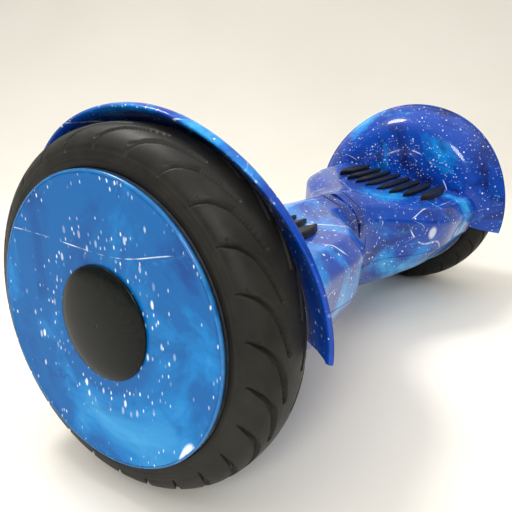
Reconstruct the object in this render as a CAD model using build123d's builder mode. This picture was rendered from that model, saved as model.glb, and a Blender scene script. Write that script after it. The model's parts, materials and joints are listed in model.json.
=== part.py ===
"""Two-wheel self-balancing board with ten-inch hub-motor wheels, as an assembly of separate pieces.

Frame: origin on the floor under the middle of the board, +X along the wheel axle, +Z up. Millimetres.
The right half (+X) stands tipped forwards about the wheel axle by NOSE_DOWN degrees against the left half,
as the two halves do when nobody stands on them.
"""
from build123d import *
import math
import os

os.makedirs("parts", exist_ok=True)

# ---------------------------------------------------------------- driving dimensions
TYRE_R = 127.0            # ten-inch tyre
TRACK = 291.0             # middle of the board to the middle plane of a tyre
AXLE_Z = TYRE_R
NOSE_DOWN = 12.0          # how far the right half is tipped against the left half
HULL_END = 250.0          # outer end wall of the body shell
WALL = 3.0                # shell wall
DECK_Z = 160.0            # foot deck
SEAM_IN, SEAM_OUT = 92.0, 121.0   # height of the joint line between the shells, at the neck and at the wheel
DISC_R = 100.0            # painted wheel disc
CAP_R = 39.4              # black dome in its middle
FENDER_R = 139.0
BAR_TOP = 167.0
BAR_YS = (-57.0, -38.5, -23.0, -7.7, 7.7, 23.0, 38.5, 57.0)
BAR_IN = (134.0, 119.0, 110.0, 106.0, 106.0, 110.0, 119.0, 134.0)
BAR_OUT = 236.0
PIVOT_SHAFT_R = 17.0
BUSH_R = 20.0

SPIN = Axis((0, 0, AXLE_Z), (1, 0, 0))
kept = {}


def side_plane(x):
    """Plane across the board at x, with its own x along +Y and its own y along +Z."""
    return Plane(origin=(x, 0, 0), x_dir=(0, 1, 0), z_dir=(1, 0, 0))


def wheel_pts(pairs):
    """Turns (distance outboard of the tyre's middle, radius) into points of the XZ sketch plane."""
    return [(TRACK + u, AXLE_Z + r) for u, r in pairs]


def inset(points, t):
    """A convex outline moved inwards by t."""
    n = len(points)
    area = sum(points[i][0] * points[(i + 1) % n][1] - points[(i + 1) % n][0] * points[i][1] for i in range(n))
    s = 1 if area > 0 else -1
    lines = []
    for i in range(n):
        (x0, y0), (x1, y1) = points[i], points[(i + 1) % n]
        dx, dy = x1 - x0, y1 - y0
        d = math.hypot(dx, dy)
        nx, ny = -dy / d * s, dx / d * s
        lines.append((x0 + nx * t, y0 + ny * t, dx, dy))
    out = []
    for i in range(n):
        x0, y0, ax, ay = lines[i - 1]
        x1, y1, bx, by = lines[i]
        k = ((x1 - x0) * by - (y1 - y0) * bx) / (ax * by - ay * bx)
        out.append((x0 + ax * k, y0 + ay * k))
    return out


# crown of the deck along the middle, highest over the neck
CROWN = {2.0: 171.0, 17.0: 171.0, 45.0: 170.0, 80.0: 167.0, 115.0: 164.5, 160.0: 163.5, 205.0: 163.5, HULL_END: 164.0}

# body stations: x, deck half width, shoulder, seam, lower edge, bottom, seam height, lower height, bottom height
STATIONS = [
    (2.0, 25.0, 37.0, 46.0, 39.0, 26.0, 92.0, 68.0, 50.0),
    (45.0, 32.0, 46.0, 50.0, 42.0, 28.0, 97.0, 69.0, 50.0),
    (80.0, 56.0, 71.0, 68.0, 54.0, 36.0, 101.0, 71.0, 50.0),
    (115.0, 79.0, 94.0, 88.0, 68.0, 45.0, 105.0, 73.0, 51.0),
    (160.0, 90.0, 105.0, 98.0, 77.0, 52.0, 110.0, 75.0, 53.0),
    (205.0, 93.0, 108.0, 102.0, 82.0, 56.0, 115.0, 77.0, 55.0),
    (HULL_END, 94.0, 109.0, 104.0, 84.0, 58.0, 120.0, 79.0, 57.0),
]


def outline(row, t=0.0):
    x, a, b, c, d, e, zc, zd, ze = row
    half = [(a, DECK_Z), (b, 146.0), (c, zc), (d, zd), (e, ze)]
    pts = [(0.0, CROWN[x])] + half + [(-y, z) for y, z in reversed(half)]
    return inset(pts, t) if t else pts


# ---------------------------------------------------------------- body, right half, level
with BuildPart() as hull_outer:
    for row in STATIONS:
        with BuildSketch(side_plane(row[0])) as hull_section:
            with BuildLine():
                Polyline(*outline(row), close=True)
            make_face()
            fillet(hull_section.vertices(), 9.0)
    loft()

with BuildPart() as hull_inner:
    for row in STATIONS:
        x = min(max(row[0], 5.0), HULL_END - 4.0)
        with BuildSketch(side_plane(x)) as hollow_section:
            with BuildLine():
                Polyline(*outline(row, WALL), close=True)
            make_face()
            fillet(hollow_section.vertices(), 6.5)
    loft()

# shallow groove round the neck, a little way out from the middle
with BuildPart() as neck_groove:
    with BuildSketch(side_plane(17.0)):
        Rectangle(240, 400)
        with BuildLine():
            Polyline(*outline((17.0, 27.0, 39.6, 46.4, 38.9, 25.4, 93.7, 68.4, 50.0), 1.6), close=True)
        make_face(mode=Mode.SUBTRACT)
    extrude(amount=2.2)

FENDER_OUT = [(245.2, 27.0), (244.6, 60.0), (245.4, 92.0), (250.0, 110.0), (261.0, 123.5), (274.0, 132.4), (284.0, 136.2)]
FENDER_LIP = [(289.5, 138.0), (292.5, 136.4), (289.5, 133.6)]
FENDER_IN = [(284.0, 132.6), (275.4, 129.4), (263.4, 121.2), (253.0, 109.0), (248.8, 92.0), (247.8, 60.0), (248.4, 27.0)]


def flare(pairs, deg):
    """The fender's section at an angle above the axle: its edge stands out further and draws inboard towards the two tips."""
    k = max(0.0, 1.0 - max(0.0, deg) / 38.0) ** 1.5
    u = min(1.0, max(0.0, deg) / 70.0)
    reach = -17.0 + 19.0 * u * u * (3.0 - 2.0 * u)
    out = []
    for x, r in pairs:
        share = min(1.0, max(0.0, (x - 250.0) / 42.0))
        out.append((x + reach * share * share, r + 4.0 * k * min(1.0, max(0.0, (r - 108.0) / 30.0))))
    return out


with BuildPart() as fender_arch:
    for deg in (-4.0, 8.0, 20.0, 38.0, 64.0, 90.0, 116.0, 142.0, 160.0, 172.0, 184.0):
        tip = min(deg, 180.0 - deg)
        a = math.radians(deg)
        plane = Plane(origin=(0, 0, AXLE_Z), x_dir=(1, 0, 0), z_dir=(0, -math.sin(a), math.cos(a)))
        sign = 1.0 if plane.y_dir.Y * math.cos(a) + plane.y_dir.Z * math.sin(a) > 0 else -1.0
        with BuildSketch(plane):
            with BuildLine():
                o = [(x, sign * r) for x, r in flare(FENDER_OUT, tip)]
                l = [(x, sign * r) for x, r in flare(FENDER_LIP, tip)]
                i = [(x, sign * r) for x, r in flare(FENDER_IN, tip)]
                Spline(*o)
                Spline(o[-1], *l, i[0])
                Spline(*i)
                Line(i[-1], o[0])
            make_face()
    loft()

bar_shapes = []
for y, x0 in zip(BAR_YS, BAR_IN):
    w = 5.0 if abs(y) < 50 else 7.6
    s = 1.0 if y > 0 else -1.0
    # a long leaf with pointed ends, fuller on the side away from the middle of the deck
    bar_shapes.append([(x0, y), (x0 + 16, y + s * w * 0.72), (x0 + 34, y + s * w), (BAR_OUT - 30, y + s * w),
                       (BAR_OUT - 12, y + s * w * 0.72), (BAR_OUT, y - s * w * 0.2), (BAR_OUT - 22, y - s * w * 0.8),
                       (x0 + 28, y - s * w * 0.8)])

with BuildPart() as bars:
    with BuildSketch(Plane.XY.offset(DECK_Z - WALL - 0.5)):
        for shape in bar_shapes:
            with BuildLine():
                Polyline(*shape, close=True)
            make_face()
    extrude(amount=BAR_TOP - DECK_Z + WALL + 0.5)
    chamfer(bars.faces().group_by(Axis.Z)[-1].edges(), 1.1)

with BuildPart() as bar_slots:
    with BuildSketch(Plane.XY.offset(DECK_Z - WALL - 4)):
        for shape in bar_shapes:
            with BuildLine():
                Polyline(*inset(shape, -0.35), close=True)
            make_face()
    extrude(amount=12)

seam_slope = math.degrees(math.atan2(SEAM_OUT - SEAM_IN, HULL_END))
SEAM_PLANE = Plane(origin=(0, 0, SEAM_IN), x_dir=(math.cos(math.radians(seam_slope)), 0, math.sin(math.radians(seam_slope))),
                   z_dir=(-math.sin(math.radians(seam_slope)), 0, math.cos(math.radians(seam_slope))))

with BuildPart() as upper_level:
    add(hull_outer.part)
    add(hull_inner.part, mode=Mode.SUBTRACT)
    add(neck_groove.part, mode=Mode.SUBTRACT)
    add(bar_slots.part, mode=Mode.SUBTRACT)
    split(bisect_by=SEAM_PLANE.offset(0.3), keep=Keep.TOP)
    add(fender_arch.part)
    with Locations(Location((HULL_END - 10, 0, AXLE_Z), (0, 90, 0))):
        Cylinder(24.0, 60, mode=Mode.SUBTRACT)
    with Locations(Location((0, 0, AXLE_Z), (0, 90, 0))):
        Cylinder(18.5, 30, mode=Mode.SUBTRACT)

BOSSES = ((106.0, 47.0), (106.0, -47.0), (226.0, 50.0), (226.0, -50.0))
PLATE_Z0, PLATE_Z1 = 108.0, 114.0

with BuildPart() as boss_posts:
    with Locations(*[(x, y, 79.0) for x, y in BOSSES]):
        Cylinder(4.6, 57.6)
    add(hull_outer.part, mode=Mode.INTERSECT)

with BuildPart() as lower_level:
    add(hull_outer.part)
    add(hull_inner.part, mode=Mode.SUBTRACT)
    add(neck_groove.part, mode=Mode.SUBTRACT)
    split(bisect_by=SEAM_PLANE.offset(-0.3), keep=Keep.BOTTOM)
    add(fender_arch.part, mode=Mode.SUBTRACT)
    add(boss_posts.part)
    with Locations(*[(x, y, 80.0) for x, y in BOSSES]):
        Cylinder(2.2, 80, mode=Mode.SUBTRACT)
    with Locations(*[(x, y, 51.0) for x, y in BOSSES]):
        Cylinder(4.0, 22, mode=Mode.SUBTRACT)
    with Locations(Location((HULL_END - 10, 0, AXLE_Z), (0, 90, 0))):
        Cylinder(24.0, 60, mode=Mode.SUBTRACT)
    with Locations(Location((0, 0, AXLE_Z), (0, 90, 0))):
        Cylinder(18.5, 30, mode=Mode.SUBTRACT)


# ---------------------------------------------------------------- inside the right half, level
with BuildPart() as frame_level:
    with BuildSketch(Plane.XY.offset(PLATE_Z0)):
        with BuildLine():
            Polyline((60, -30), (110, -60), (242, -72), (242, 72), (110, 60), (60, 30), close=True)
        make_face()
    extrude(amount=PLATE_Z1 - PLATE_Z0)
    with BuildSketch(side_plane(22.0)):
        with Locations((0, AXLE_Z)):
            Circle(26.0)
    extrude(amount=44.0)
    with Locations(*[(x, y, (PLATE_Z1 + 146.0) / 2) for x in (132.0, 196.0) for y in (52.0, -52.0)]):
        Cylinder(3.0, 146.0 - PLATE_Z1)
    with Locations((224.0, 0, (PLATE_Z1 + AXLE_Z) / 2)):
        Box(34.0, 44.0, AXLE_Z - PLATE_Z1)
    with BuildSketch(side_plane(10.0)):
        with Locations((0, AXLE_Z)):
            Circle(BUSH_R)
    extrude(amount=60.0, mode=Mode.SUBTRACT)
    with BuildSketch(side_plane(66.0)):
        with Locations((0, AXLE_Z)):
            Circle(25.0)
    extrude(amount=12.0, mode=Mode.SUBTRACT)
    with BuildSketch(side_plane(200.0)):
        with Locations((0, AXLE_Z)):
            Circle(8.0)
    extrude(amount=50.0, mode=Mode.SUBTRACT)
    with Locations(*[(x, y, 111.0) for x, y in BOSSES]):
        Cylinder(2.05, 12.0, mode=Mode.SUBTRACT)
    with Locations(*[(x, y, 122.0) for x in (214.0, 234.0) for y in (15.0, -15.0)]):
        Cylinder(2.5, 16.0, mode=Mode.SUBTRACT)

with BuildPart() as clamp_level:
    with Locations((224.0, 0, AXLE_Z + 7.5)):
        Box(34.0, 44.0, 14.0)
    with BuildSketch(side_plane(200.0)):
        with Locations((0, AXLE_Z)):
            Circle(8.0)
    extrude(amount=50.0, mode=Mode.SUBTRACT)
    with Locations(*[(x, y, AXLE_Z + 7.0) for x in (214.0, 234.0) for y in (15.0, -15.0)]):
        Cylinder(2.8, 20.0, mode=Mode.SUBTRACT)

with BuildPart() as clamp_screws_level:
    with Locations(*[(x, y, 131.5) for x in (214.0, 234.0) for y in (15.0, -15.0)]):
        Cylinder(2.4, 20.0)
    with Locations(*[(x, y, 143.0) for x in (214.0, 234.0) for y in (15.0, -15.0)]):
        Cylinder(4.4, 3.0)

with BuildPart() as cover_screws_level:
    with Locations(*[(x, y, 87.7) for x, y in BOSSES]):
        Cylinder(2.0, 51.7)
    with Locations(*[(x, y, 60.2) for x, y in BOSSES]):
        Cylinder(3.6, 3.4)

with BuildPart() as sensor_level:
    with Locations((164.0, 0, 146.9)):
        Box(76.0, 116.0, 1.6)
    with Locations(*[(x, y, 148.7) for x in (145.0, 183.0) for y in (36.0, -36.0)]):
        Box(9.0, 9.0, 2.2)

with BuildPart() as pad_level:
    with BuildSketch(Plane.XY.offset(152.0)):
        with BuildLine():
            Polyline((110, -40), (136, -66), (237, -66), (237, 66), (136, 66), (110, 40), close=True)
        make_face()
    extrude(amount=3.5)
    with BuildSketch(Plane.XY.offset(155.0)):
        for shape in bar_shapes:
            with BuildLine():
                Polyline(*shape, close=True)
            make_face()
    extrude(amount=BAR_TOP - 155.0)
    chamfer(pad_level.faces().group_by(Axis.Z)[-1].edges(), 1.1)

# ---------------------------------------------------------------- wheel, right
def tyre_r(u, half=29.2, top=27.0):
    return 100.0 + top * (1.0 - min(1.0, abs(u) / half) ** 2.6) ** (1 / 2.6)


US = (-29.2, -28.4, -26.0, -21.0, -14.0, -7.0, 0.0, 7.0, 14.0, 21.0, 26.0, 28.4, 29.2)
with BuildPart() as tyre_level:
    with BuildSketch(Plane.XZ):
        with BuildLine():
            skin = wheel_pts([(u, tyre_r(u)) for u in US])
            Spline(*skin)
            inner = wheel_pts([(21.0, 101.0), (19.0, 109.0), (10.0, 115.5), (0.0, 117.0), (-10.0, 115.5), (-19.0, 109.0), (-21.0, 101.0)])
            Polyline(skin[-1], wheel_pts([(24.0, 100.05)])[0], inner[0])
            Spline(*inner)
            Polyline(inner[-1], wheel_pts([(-24.0, 100.05)])[0], skin[0])
        make_face()
    revolve(axis=SPIN)


def turned(pairs):
    with BuildPart() as ring:
        with BuildSketch(Plane.XZ):
            with BuildLine():
                Polyline(*wheel_pts(pairs), close=True)
            make_face()
        revolve(axis=SPIN)
    return ring.part


with BuildPart() as rim_level:
    add(turned([(-27, 92), (27, 92), (27, 100), (-27, 100)]))
with BuildPart() as magnets_level:
    add(turned([(-15, 86), (15, 86), (15, 92), (-15, 92)]))
with BuildPart() as plate_out_level:
    add(turned([(17, 16), (17, 22), (22, 22), (22, 92), (26, 92), (26, 16)]))
with BuildPart() as plate_in_level:
    add(turned([(-17, 16), (-17, 22), (-22, 22), (-22, 92), (-26, 92), (-26, 16)]))
with BuildPart() as bearings_level:
    add(turned([(18, 8.05), (25.5, 8.05), (25.5, 16), (18, 16)]))
    add(turned([(-18, 8.05), (-25.5, 8.05), (-25.5, 16), (-18, 16)]))
with BuildPart() as stator_level:
    add(turned([(-14, 8.0), (14, 8.0), (14, 84.8), (-14, 84.8)]))
    with BuildSketch(side_plane(TRACK - 20)):
        with Locations((0, AXLE_Z)):
            with PolarLocations(66.0, 27):
                Rectangle(26.0, 4.4)
    extrude(amount=40.0, mode=Mode.SUBTRACT)
with BuildPart() as axle_level:
    with BuildSketch(side_plane(207.5)):
        with Locations((0, AXLE_Z)):
            Circle(8.0)
    extrude(amount=TRACK + 26.0 - 207.5)
with BuildPart() as disc_level:
    with BuildSketch(Plane.XZ):
        with BuildLine():
            Polyline(*wheel_pts([(27.6, 12), (27.8, 39), (31.0, 97), (31.2, DISC_R), (33.4, DISC_R), (34.0, 99.2),
                                 (33.6, 97.2), (30.2, 39.6), (29.8, 12)]), close=True)
        make_face()
    revolve(axis=SPIN)
    with BuildSketch(side_plane(TRACK + 26.0)):
        with Locations((0, AXLE_Z)):
            with PolarLocations(60.0, 3):
                Circle(4.0)
    extrude(amount=4.0)
with BuildPart() as cap_level:
    with BuildSketch(Plane.XZ):
        with BuildLine():
            rows = wheel_pts([(30.4, 0.0), (30.4, CAP_R - 0.6), (31.6, CAP_R), (33.6, 32.0), (35.6, 17.0), (36.4, 0.0)])
            Polyline(*rows[:3])
            Spline(rows[2], rows[3], rows[4], rows[5], tangents=((0.25, -1), (0, -1)))
            Line(rows[5], rows[0])
        make_face()
    revolve(axis=SPIN)

# ---------------------------------------------------------------- button and charging port in the rear flank
PORT_X, BUTTON_X = 160.0, 196.0


def flank(x, y, z, dy, dz):
    d = math.hypot(dy, dz)
    return Plane(origin=(x, y, z), x_dir=(1, 0, 0), z_dir=(0, dy / d, dz / d))


PORT_PLANE = flank(PORT_X, 87.5, 92.5, 35.0, -21.0)
PIN_AT = PORT_PLANE.from_local_coords((0, 14.5, 3.3))
PIN_PLANE = Plane(origin=PIN_AT, x_dir=(0, 1, 0), z_dir=(1, 0, 0))
BUTTON_PLANE = flank(BUTTON_X, 91.2, 95.0, 37.4, -20.2)

with BuildPart() as port_level:
    with BuildSketch(PORT_PLANE.offset(-14.0)):
        Circle(8.4)
    extrude(amount=14.0)
    with BuildSketch(PORT_PLANE):
        Circle(11.0)
    extrude(amount=2.0)
    with BuildSketch(PORT_PLANE):
        with Locations((0, 14.0)):
            Rectangle(14.0, 8.0)
    extrude(amount=1.6)
    with BuildSketch(PORT_PLANE.offset(1.5)):
        with Locations((5.9, 15.2), (-5.9, 15.2)):
            Rectangle(2.0, 5.0)
    extrude(amount=3.1)
    with BuildSketch(PIN_PLANE.offset(-6.0)):
        Circle(0.6)
    extrude(amount=12.0)
    with BuildSketch(PORT_PLANE.offset(-11.0)):
        Circle(6.0)
    extrude(amount=20.0, mode=Mode.SUBTRACT)
with BuildPart() as port_cap_level:
    with BuildSketch(PORT_PLANE.offset(2.2)):
        Circle(10.4)
        with Locations((0, 11.4)):
            Rectangle(9.0, 8.0)
    extrude(amount=2.2)
    with BuildSketch(PIN_PLANE.offset(-6.0)):
        Circle(0.66)
    extrude(amount=12.0, mode=Mode.SUBTRACT)
with BuildPart() as button_level:
    with BuildSketch(BUTTON_PLANE.offset(-8.0)):
        Circle(7.0)
    extrude(amount=11.0)

with BuildPart() as lower_ported:
    add(lower_level.part)
    with BuildSketch(PORT_PLANE.offset(-16.0)):
        Circle(8.6)
    extrude(amount=16.0, mode=Mode.SUBTRACT)
    with BuildSketch(PORT_PLANE):
        Circle(15.5)
        with Locations((0, 14.0)):
            Rectangle(15.0, 16.0)
    extrude(amount=14.0, mode=Mode.SUBTRACT)
    with BuildSketch(BUTTON_PLANE.offset(-16.0)):
        Circle(7.3)
    extrude(amount=30.0, mode=Mode.SUBTRACT)

with BuildPart() as battery_level:
    with Locations((168.0, 0, 86.0)):
        Box(106.0, 72.0, 44.0)
    fillet(battery_level.edges().filter_by(Axis.X), 5.0)
with BuildPart() as board_level:
    with Locations((168.0, 0, 98.0)):
        Box(104.0, 66.0, 1.6)
    with Locations((150.0, 0, 101.4)):
        Box(50.0, 40.0, 5.2)
    with Locations((198.0, 12.0, 100.5), (198.0, -12.0, 100.5)):
        Box(12.0, 16.0, 3.4)
    with Locations(*[(x, y, 103.4) for x in (122.0, 214.0) for y in (28.0, -28.0)]):
        Cylinder(2.4, 9.2)

# ---------------------------------------------------------------- shared pivot
def tube(x0, x1, r0, r1):
    with BuildPart() as sleeve:
        with BuildSketch(side_plane(x0)):
            with Locations((0, AXLE_Z)):
                Circle(r1)
                Circle(r0, mode=Mode.SUBTRACT)
        extrude(amount=x1 - x0)
    return sleeve.part


with BuildPart() as pivot_shaft:
    add(tube(-64.0, 72.0, 12.0, PIVOT_SHAFT_R))
with BuildPart() as pivot_bush_left:
    add(tube(-62.0, -24.0, PIVOT_SHAFT_R, BUSH_R))
with BuildPart() as pivot_bush_right:
    add(tube(24.0, 62.0, PIVOT_SHAFT_R + 0.05, BUSH_R))
with BuildPart() as pivot_ring:
    add(tube(66.5, 69.0, PIVOT_SHAFT_R, 22.5))

for name, piece in (("pivot_shaft", pivot_shaft), ("pivot_bush_left", pivot_bush_left),
                    ("pivot_bush_right", pivot_bush_right), ("pivot_ring", pivot_ring)):
    piece.part.label = name
    export_step(piece.part, f"parts/{name}.step")
    kept[name] = piece.part

# ---------------------------------------------------------------- both halves
BOTH = {
    "cover_upper": upper_level, "frame": frame_level, "axle_clamp": clamp_level,
    "clamp_screws": clamp_screws_level, "cover_screws": cover_screws_level, "sensor_board": sensor_level,
    "foot_pad": pad_level, "tyre": tyre_level, "rim": rim_level, "magnet_ring": magnets_level,
    "end_plate_outer": plate_out_level, "end_plate_inner": plate_in_level, "bearings": bearings_level,
    "stator": stator_level, "axle": axle_level, "wheel_disc": disc_level, "wheel_cap": cap_level,
}
RIGHT_ONLY = {"cover_lower": lower_ported, "battery": battery_level, "charge_port": port_level,
              "charge_cap": port_cap_level, "power_button": button_level}
LEFT_ONLY = {"cover_lower": lower_level, "control_board": board_level}

for name, piece in {**BOTH, **RIGHT_ONLY}.items():
    full = name if name in ("battery", "charge_port", "charge_cap", "power_button") else name + "_right"
    with BuildPart() as right_piece:
        add(piece.part.rotate(SPIN, NOSE_DOWN))
    right_piece.part.label = full
    export_step(right_piece.part, f"parts/{full}.step")
    kept[full] = right_piece.part

for name, piece in {**BOTH, **LEFT_ONLY}.items():
    full = name if name == "control_board" else name + "_left"
    with BuildPart() as left_piece:
        add(mirror(piece.part, about=Plane.YZ))
    left_piece.part.label = full
    export_step(left_piece.part, f"parts/{full}.step")
    kept[full] = left_piece.part

for name in sorted(kept):
    p = kept[name]
    print(f"{name:20s} solids {len(p.solids())} valid {p.is_valid} vol {p.volume / 1000:9.2f} cm3")
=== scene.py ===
import bpy
import json
import math
import numpy as np
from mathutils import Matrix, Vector


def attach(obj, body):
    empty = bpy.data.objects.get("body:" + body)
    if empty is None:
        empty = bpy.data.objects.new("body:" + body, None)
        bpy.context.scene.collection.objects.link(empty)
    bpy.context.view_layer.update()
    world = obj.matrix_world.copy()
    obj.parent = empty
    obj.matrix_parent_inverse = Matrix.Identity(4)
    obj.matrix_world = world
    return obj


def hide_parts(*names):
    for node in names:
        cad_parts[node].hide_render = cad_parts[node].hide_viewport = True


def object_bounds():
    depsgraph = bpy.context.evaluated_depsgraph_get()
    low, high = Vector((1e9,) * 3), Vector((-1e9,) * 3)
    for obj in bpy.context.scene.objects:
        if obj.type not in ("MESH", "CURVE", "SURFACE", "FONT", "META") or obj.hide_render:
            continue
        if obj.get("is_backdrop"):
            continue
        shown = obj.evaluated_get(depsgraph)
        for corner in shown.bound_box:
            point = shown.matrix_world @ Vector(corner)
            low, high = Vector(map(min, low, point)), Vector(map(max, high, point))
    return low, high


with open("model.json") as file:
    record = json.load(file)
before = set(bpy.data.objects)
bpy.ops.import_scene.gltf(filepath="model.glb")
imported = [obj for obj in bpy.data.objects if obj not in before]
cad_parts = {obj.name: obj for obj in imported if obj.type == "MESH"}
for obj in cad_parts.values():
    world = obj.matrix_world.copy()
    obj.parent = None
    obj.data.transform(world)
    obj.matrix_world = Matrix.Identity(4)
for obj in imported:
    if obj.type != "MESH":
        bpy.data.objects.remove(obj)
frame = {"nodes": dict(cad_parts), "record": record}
CAD_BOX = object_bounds()


def plain(v):
    return [plain(c) for c in v] if hasattr(v, "__len__") or hasattr(v, "__iter__") else float(v)


def lin(r, g, b):
    out = []
    for c in (r, g, b):
        c = c / 255.0
        out.append(c / 12.92 if c <= 0.04045 else ((c + 0.055) / 1.055) ** 2.4)
    return (*out, 1.0)


# ------------------------------------------------------------------ materials
class Mat:
    def __init__(self, name, rough=0.5, metal=0.0, coat=0.0, coat_rough=0.03, spec=0.5):
        self.m = bpy.data.materials.new(name)
        self.m.use_nodes = True
        self.t = self.m.node_tree
        self.b = self.t.nodes["Principled BSDF"]
        self.b.inputs["Roughness"].default_value = rough
        self.b.inputs["Metallic"].default_value = metal
        self.b.inputs["Coat Weight"].default_value = coat
        self.b.inputs["Coat Roughness"].default_value = coat_rough
        self.b.inputs["Specular IOR Level"].default_value = spec
        self.obj = self.t.nodes.new("ShaderNodeTexCoord").outputs["Object"]

    def link(self, a, b):
        self.t.links.new(a, b)

    def put(self, socket, v):
        if isinstance(v, bpy.types.NodeSocket):
            self.link(v, socket)
        else:
            socket.default_value = v

    def math(self, op, a, b=0.0, clamp=False):
        n = self.t.nodes.new("ShaderNodeMath")
        n.operation, n.use_clamp = op, clamp
        self.put(n.inputs[0], a)
        self.put(n.inputs[1], b)
        return n.outputs[0]

    def place(self, scale=(1, 1, 1), rot=(0, 0, 0)):
        n = self.t.nodes.new("ShaderNodeMapping")
        self.link(self.obj, n.inputs["Vector"])
        n.inputs["Scale"].default_value = scale
        n.inputs["Rotation"].default_value = rot
        return n.outputs[0]

    def noise(self, scale, detail=4.0, rough=0.55, distort=0.0, vec=None):
        n = self.t.nodes.new("ShaderNodeTexNoise")
        self.link(vec or self.obj, n.inputs["Vector"])
        for k, v in (("Scale", scale), ("Detail", detail), ("Roughness", rough), ("Distortion", distort)):
            n.inputs[k].default_value = v
        return n.outputs["Fac"]

    def ramp(self, fac, stops):
        n = self.t.nodes.new("ShaderNodeValToRGB")
        self.link(fac, n.inputs[0])
        el = n.color_ramp.elements
        while len(el) < len(stops):
            el.new(0.5)
        for e, (p, c) in zip(el, stops):
            e.position, e.color = p, c
        return n.outputs[0]

    def mix(self, fac, a, b):
        n = self.t.nodes.new("ShaderNodeMix")
        n.data_type = "RGBA"
        self.put(n.inputs[0], fac)
        self.put(n.inputs[6], a)
        self.put(n.inputs[7], b)
        return n.outputs[2]

    def step(self, v, lo, hi):
        n = self.t.nodes.new("ShaderNodeMapRange")
        n.interpolation_type = "SMOOTHSTEP"
        self.put(n.inputs[0], v)
        n.inputs[1].default_value, n.inputs[2].default_value = lo, hi
        n.inputs[3].default_value, n.inputs[4].default_value = 0.0, 1.0
        return n.outputs[0]

    def dots(self, scale, radius, share, vec=None):
        n = self.t.nodes.new("ShaderNodeTexVoronoi")
        self.link(vec or self.obj, n.inputs["Vector"])
        n.inputs["Scale"].default_value = scale
        n.inputs["Randomness"].default_value = 1.0
        s = self.t.nodes.new("ShaderNodeSeparateColor")
        self.link(n.outputs["Color"], s.inputs[0])
        near = self.math("SUBTRACT", 1.0, self.step(n.outputs["Distance"], radius * 0.45, radius))
        keep = self.math("GREATER_THAN", s.outputs[0], 1.0 - share)
        return self.math("MULTIPLY", near, self.math("MULTIPLY", keep, s.outputs[1]))

    def hair(self, scale, width, vec=None):
        """thin wandering lines where a smooth noise crosses its middle value"""
        f = self.noise(scale, 1.0, 0.4, 0.3, vec)
        d = self.math("ABSOLUTE", self.math("SUBTRACT", f, 0.5))
        return self.math("SUBTRACT", 1.0, self.step(d, width * 0.3, width))

    def bump(self, h, strength, dist=0.001):
        n = self.t.nodes.new("ShaderNodeBump")
        self.link(h, n.inputs["Height"])
        n.inputs["Strength"].default_value, n.inputs["Distance"].default_value = strength, dist
        self.link(n.outputs[0], self.b.inputs["Normal"])

    def color(self, c):
        self.put(self.b.inputs["Base Color"], c)
        return self.m


def galaxy(name, base, deep, bright, pale, stretch=(1, 1, 1), coat=0.45):
    m = Mat(name, rough=0.3, coat=coat, coat_rough=0.03, spec=0.12)
    cloud = m.noise(9.0, 7.0, 0.6, 0.8)
    col = m.ramp(cloud, [(0.32, deep), (0.44, base), (0.50, base), (0.58, bright), (0.72, pale)])
    patch = m.step(m.noise(15.0, 5.0, 0.6, 1.2, m.place((1, 1, 1), (0.7, 0.3, 1.1))), 0.56, 0.72)
    col = m.mix(m.math("MULTIPLY", patch, 0.75), col, deep)
    wisp = m.step(m.noise(22.0, 8.0, 0.68, 2.2, m.place((1.0, 0.6, 1.4), (0.2, 0.9, 0.4))), 0.60, 0.80)
    col = m.mix(m.math("MULTIPLY", wisp, 0.7), col, pale)
    white = (0.86, 0.93, 1.0, 1.0)
    sv = m.place(stretch, (0.4, 0.0, 0.0))
    col = m.mix(m.dots(330.0, 0.27, 0.36, sv), col, white)
    col = m.mix(m.dots(150.0, 0.24, 0.42, sv), col, white)
    col = m.mix(m.dots(15.0, 0.13, 0.55, m.place((1.0, 1.5, 0.75), (0.35, 0, 0))), col, white)
    lines = m.math("MAXIMUM", m.hair(5.0, 0.0016, m.place((1, 1, 0.45), (0.9, 0, 0.5))),
                   m.hair(6.5, 0.0014, m.place((0.5, 0.4, 1.3), (-0.6, 0.4, 0))))
    broken = m.step(m.noise(40.0, 3.0), 0.46, 0.62)
    col = m.mix(m.math("MULTIPLY", m.math("MULTIPLY", lines, broken), 0.8), col, white)
    return m.color(col)


def rubber(name, a, b, rough, bump):
    m = Mat(name, rough=rough, spec=0.2)
    n = m.noise(55.0, 6.0, 0.6)
    col = m.ramp(n, [(0.3, a), (0.7, b)])
    m.put(m.b.inputs["Roughness"], m.math("ADD", m.math("MULTIPLY", m.noise(120.0, 3.0), 0.22), rough - 0.11))
    m.bump(m.noise(1400.0, 3.0), bump, 0.0004)
    return m.color(col)


def simple(name, a, b, rough, metal=0.0, scale=120.0, bump=0.1, coat=0.0, spec=0.5):
    m = Mat(name, rough=rough, metal=metal, coat=coat, spec=spec)
    n = m.noise(scale, 5.0)
    m.bump(m.noise(scale * 8, 2.0), bump, 0.0003)
    return m.color(m.ramp(n, [(0.35, a), (0.65, b)]))


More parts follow.
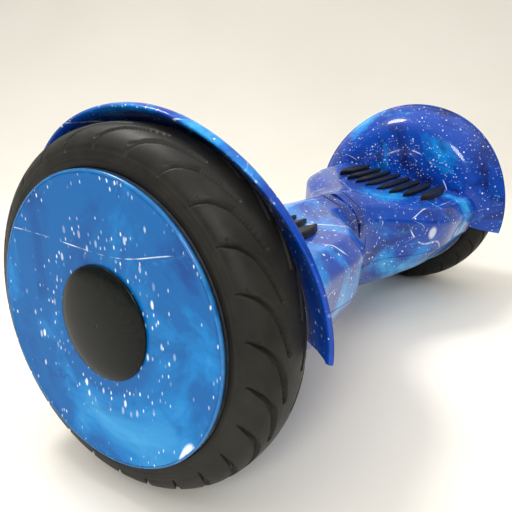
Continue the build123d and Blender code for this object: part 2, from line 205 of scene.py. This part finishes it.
MATS = {
    "printed_shell": galaxy("printed_shell", (0.001, 0.050, 0.36, 1), (0.003, 0.008, 0.09, 1), (0.002, 0.22, 0.66, 1), (0.10, 0.60, 0.88, 1)),
    "printed_disc": galaxy("printed_disc", (0.0, 0.11, 0.36, 1), (0.0, 0.05, 0.24, 1), (0.002, 0.19, 0.52, 1), (0.05, 0.34, 0.66, 1), (1, 1.0, 0.45), 0.12),
    "tyre": rubber("tyre", (0.008, 0.0075, 0.006, 1), (0.020, 0.018, 0.014, 1), 0.48, 0.25),
    "pad_rubber": rubber("pad_rubber", (0.004, 0.004, 0.004, 1), (0.010, 0.010, 0.009, 1), 0.45, 0.25),
    "black_cap": simple("black_cap", (0.003, 0.0045, 0.004, 1), (0.006, 0.008, 0.007, 1), 0.22, 0.0, 200.0, 0.03, 0.05, 0.12),
    "black_plastic": simple("black_plastic", lin(20, 20, 21), lin(30, 30, 31), 0.45),
    "cast_frame": simple("cast_frame", lin(150, 152, 155), lin(182, 184, 186), 0.45, 0.9, 160.0, 0.3),
    "steel": simple("steel", lin(140, 141, 144), lin(176, 177, 180), 0.3, 1.0),
    "magnet": simple("magnet", lin(88, 90, 92), lin(120, 121, 124), 0.4, 0.9),
    "winding": simple("winding", lin(128, 60, 24), lin(176, 92, 44), 0.35, 0.8, 300.0, 0.4),
    "bush": simple("bush", lin(206, 200, 184), lin(220, 215, 200), 0.5),
    "circuit_board": simple("circuit_board", lin(10, 66, 34), lin(24, 96, 50), 0.4),
    "battery_wrap": simple("battery_wrap", lin(16, 40, 110), lin(28, 60, 140), 0.3, 0.0, 60.0, 0.2, 0.4),
    "rolled_edge": simple("rolled_edge", lin(10, 92, 160), lin(30, 120, 180), 0.22, 0.1),
}

for part in frame["record"]["subparts"]:
    o = frame["nodes"][part["node"]]
    mat = MATS[part["material_slot"]]
    if not o.data.materials:
        o.data.materials.append(mat)
    for i in range(len(o.data.materials)):
        o.data.materials[i] = mat

# ------------------------------------------------------------------ meshes
AX = 0.127


def grid_mesh(name, co, mat, closed_v=False):
    """co is (rows round the axle, columns along the profile, 3); rows always close on themselves"""
    n, m, _ = co.shape
    mesh = bpy.data.meshes.new(name)
    i = np.arange(n)[:, None]
    cols = m if closed_v else m - 1
    j = np.arange(cols)[None, :]
    i2, j2 = (i + 1) % n, (j + 1) % m
    faces = np.stack(np.broadcast_arrays(i * m + j, i2 * m + j, i2 * m + j2, i * m + j2), -1).reshape(-1, 4)
    mesh.from_pydata(co.reshape(-1, 3).tolist(), [], faces.tolist())
    mesh.polygons.foreach_set("use_smooth", np.ones(len(mesh.polygons), bool))
    mesh.materials.append(mat)
    o = bpy.data.objects.new(name, mesh)
    bpy.context.scene.collection.objects.link(o)
    bpy.context.view_layer.update()
    return o


def axle_points(x, r, phi):
    """phi runs from the top over the front; r and x in metres"""
    return np.stack([x, -r * np.sin(phi), AX + r * np.cos(phi)], -1)


PITCHES = 26
GROOVE = [(0.0, 27.0), (6.2, 21.5), (16.4, 15.4), (30.9, 10.9), (43.0, 8.1)]
GWIDTH = [1.3, 2.2, 3.4, 3.6, 2.4]


def tread_depth(circ, ax):
    pitch = 2 * math.pi * 127.0 / PITCHES
    depth = np.zeros_like(circ)
    for inner in (False, True):
        a = -ax if inner else ax
        c = (circ + (pitch / 2 if inner else 0.0)) % pitch
        for shift in (0, 1, 2, -1):
            q = c + shift * pitch
            for k in range(len(GROOVE) - 1):
                (c0, a0), (c1, a1) = GROOVE[k], GROOVE[k + 1]
                dc, da = c1 - c0, a1 - a0
                t = np.clip(((q - c0) * dc + (a - a0) * da) / (dc * dc + da * da), 0, 1)
                d = np.hypot(q - c0 - t * dc, a - a0 - t * da)
                w = (GWIDTH[k] * (1 - t) + GWIDTH[k + 1] * t) / 2
                g = np.clip((w + 0.35 - d) / 0.7, 0, 1)
                depth = np.maximum(depth, 3.6 * g * g * (3 - 2 * g))
        # short slanted cut between neighbouring grooves, high on the shoulder
        q = (c + 11.0) % pitch
        t = np.clip(((q - 10.0) * 9.0 + (a - 24.5) * -4.0) / 97.0, 0, 1)
        d = np.hypot(q - 10.0 - t * 9.0, a - 24.5 + t * 4.0)
        g = np.clip((0.8 - d) / 0.5, 0, 1)
        depth = np.maximum(depth, 0.9 * g)
    ring = np.clip((0.55 - np.abs(np.abs(ax) - 27.6)) / 0.35, 0, 1)
    return np.maximum(depth, 0.6 * ring)


def tyre(side, name):
    n = PITCHES * 42
    s = np.linspace(-1, 1, 121)
    th = s * math.pi / 2
    u = 29.15 * np.sign(th) * np.abs(np.sin(th)) ** (2 / 2.6)
    r = 100.0 + 26.95 * np.abs(np.cos(th)) ** (2 / 2.6)
    u = np.concatenate([[-24.0], u, [24.0]])
    r = np.concatenate([[100.1], r, [100.1]])
    phi = np.arange(n) / n * 2 * math.pi
    P, U = np.meshgrid(phi, u, indexing="ij")
    R = np.broadcast_to(r, P.shape).copy()
    crown = np.clip((R - 106.0) / 3.0, 0, 1)
    R = R - tread_depth(P * 127.0, U) * crown
    swell = 0.35 * np.exp(-((R - 104.0) / 0.6) ** 2) + 0.3 * np.exp(-((R - 107.4) / 0.5) ** 2)
    U2 = U - np.sign(U) * 0.4 + np.sign(U) * swell
    co = axle_points(side * (291.0 + U2) / 1000.0, R / 1000.0, P)
    return grid_mesh(name, co, MATS["tyre"])


def lathe(name, pts, side, mat, n=288):
    phi = np.arange(n) / n * 2 * math.pi
    a = np.array(pts, float)
    P, U = np.meshgrid(phi, a[:, 0], indexing="ij")
    R = np.broadcast_to(a[:, 1], P.shape)
    return grid_mesh(name, axle_points(side * (291.0 + U) / 1000.0, R / 1000.0, P), mat, closed_v=True)


def arc(p0, p1, bulge, n):
    """points from p0 to p1, pushed out by bulge along +u at the middle"""
    t = np.linspace(0, 1, n)
    return [(p0[0] + (p1[0] - p0[0]) * k + bulge * math.sin(math.pi * k), p0[1] + (p1[1] - p0[1]) * k) for k in t]


for side, tag, body in ((-1, "left", "left_wheel"), (1, "right", "right_wheel")):
    t = tyre(side, f"tread_{tag}")
    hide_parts(f"tyre_{tag}")
    d = lathe(f"disc_{tag}", [(27.9, 14.0), (28.0, 39.0), (31.1, 97.0)] + [(31.3, 98.4), (31.5, 98.9)]
              + [(33.7, 98.2), (33.85, 97.0)] + arc((33.5, 95.6), (30.2, 41.0), -0.35, 26) + [(29.9, 14.0)], side, MATS["printed_disc"])
    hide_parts(f"wheel_disc_{tag}")
    e = lathe(f"disc_edge_{tag}", [(31.4, 98.9), (31.4, 99.8), (32.3, 100.0), (33.3, 99.9), (33.95, 99.3), (33.95, 98.6), (33.7, 98.3)],
              side, MATS["rolled_edge"])
    c = lathe(f"cap_{tag}", [(30.45, 0.3), (30.45, 38.7), (30.9, 39.3), (31.5, 39.35), (32.1, 38.9)]
              + [(30.9 + 5.45 * math.sqrt(max(0.0, 1 - (q / 39.6) ** 2)), q) for q in np.linspace(38.2, 0.3, 40)], side, MATS["black_cap"])
    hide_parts(f"wheel_cap_{tag}")
    for o, s in ((t, "tyre"), (d, "printed_disc"), (e, "printed_disc"), (c, "black_cap")):
        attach(o, body)

# ------------------------------------------------------------------ stage, light, camera
def sheet_mesh(name, rows, mat):
    mesh = bpy.data.meshes.new(name)
    v = [p for row in rows for p in row]
    mesh.from_pydata(v, [], [(2 * i, 2 * i + 1, 2 * i + 3, 2 * i + 2) for i in range(len(rows) - 1)])
    mesh.polygons.foreach_set("use_smooth", [True] * len(mesh.polygons))
    mesh.materials.append(mat)
    o = bpy.data.objects.new(name, mesh)
    bpy.context.scene.collection.objects.link(o)
    return o


floor_mat = Mat("floor", rough=0.6)
ahead, across = Vector((0.832, 0.555, 0.0)), Vector((0.555, -0.832, 0.0))
runs = [(-12.0, 0.0), (1.1, 0.0)]
runs += [(1.1 + 1.5 * math.sin(k), 1.5 - 1.5 * math.cos(k)) for k in [math.pi / 2 * i / 24 for i in range(1, 25)]]
runs += [(2.6, 5.0)]
rows = []
for along, up in runs:
    rows.append([tuple(ahead * along + across * w + Vector((0, 0, up))) for w in (-12.0, 12.0)])
floor = sheet_mesh("floor", rows, floor_mat.color(floor_mat.ramp(floor_mat.noise(1.5, 2.0), [(0.3, lin(232, 227, 216)), (0.7, lin(237, 232, 222))])))
floor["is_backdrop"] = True

world = bpy.data.worlds.new("studio")
bpy.context.scene.world = world
world.use_nodes = True
wt = world.node_tree
sky = wt.nodes["Background"]
gen = wt.nodes.new("ShaderNodeTexCoord").outputs["Generated"]
sep = wt.nodes.new("ShaderNodeSeparateXYZ")
wt.links.new(gen, sep.inputs[0])
wr = wt.nodes.new("ShaderNodeValToRGB")
wt.links.new(sep.outputs[2], wr.inputs[0])
# dim room at eye level, bright ceiling
wr.color_ramp.elements[0].position, wr.color_ramp.elements[0].color = 0.30, (0.13, 0.14, 0.15, 1.0)
wr.color_ramp.elements[1].position, wr.color_ramp.elements[1].color = 0.85, (1.0, 0.99, 0.97, 1.0)
wt.links.new(wr.outputs[0], sky.inputs[0])
sky.inputs[1].default_value = 1.5
bpy.context.scene.view_settings.view_transform = "Standard"


def light(name, at, aim, size, power, color=(1, 1, 1)):
    l = bpy.data.lights.new(name, "AREA")
    l.shape, l.size, l.energy, l.color = "DISK", size, power, color
    o = bpy.data.objects.new(name, l)
    o.location = at
    o.rotation_euler = (Vector(aim) - Vector(at)).to_track_quat("-Z", "Y").to_euler()
    bpy.context.scene.collection.objects.link(o)


light("key", (-0.2, 0.9, 1.9), (0, 0, 0.1), 0.55, 22, (1.0, 0.98, 0.95))
light("front", (-1.7, -0.6, 1.0), (-0.2, 0, 0.1), 0.5, 15, (0.96, 0.98, 1.0))

cam = bpy.data.cameras.new("camera")
cam.sensor_width, cam.lens, cam.clip_start = 36.0, 535.8 / 512 * 36.0, 0.01
co = bpy.data.objects.new("camera", cam)
co.location = (-0.5348, -0.2614, 0.2629)
co.rotation_euler = Vector((0.8010, 0.5342, -0.2701)).to_track_quat("-Z", "Y").to_euler()
bpy.context.scene.collection.objects.link(co)
bpy.context.scene.camera = co

{"cad": plain(CAD_BOX), "visual": plain(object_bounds())}
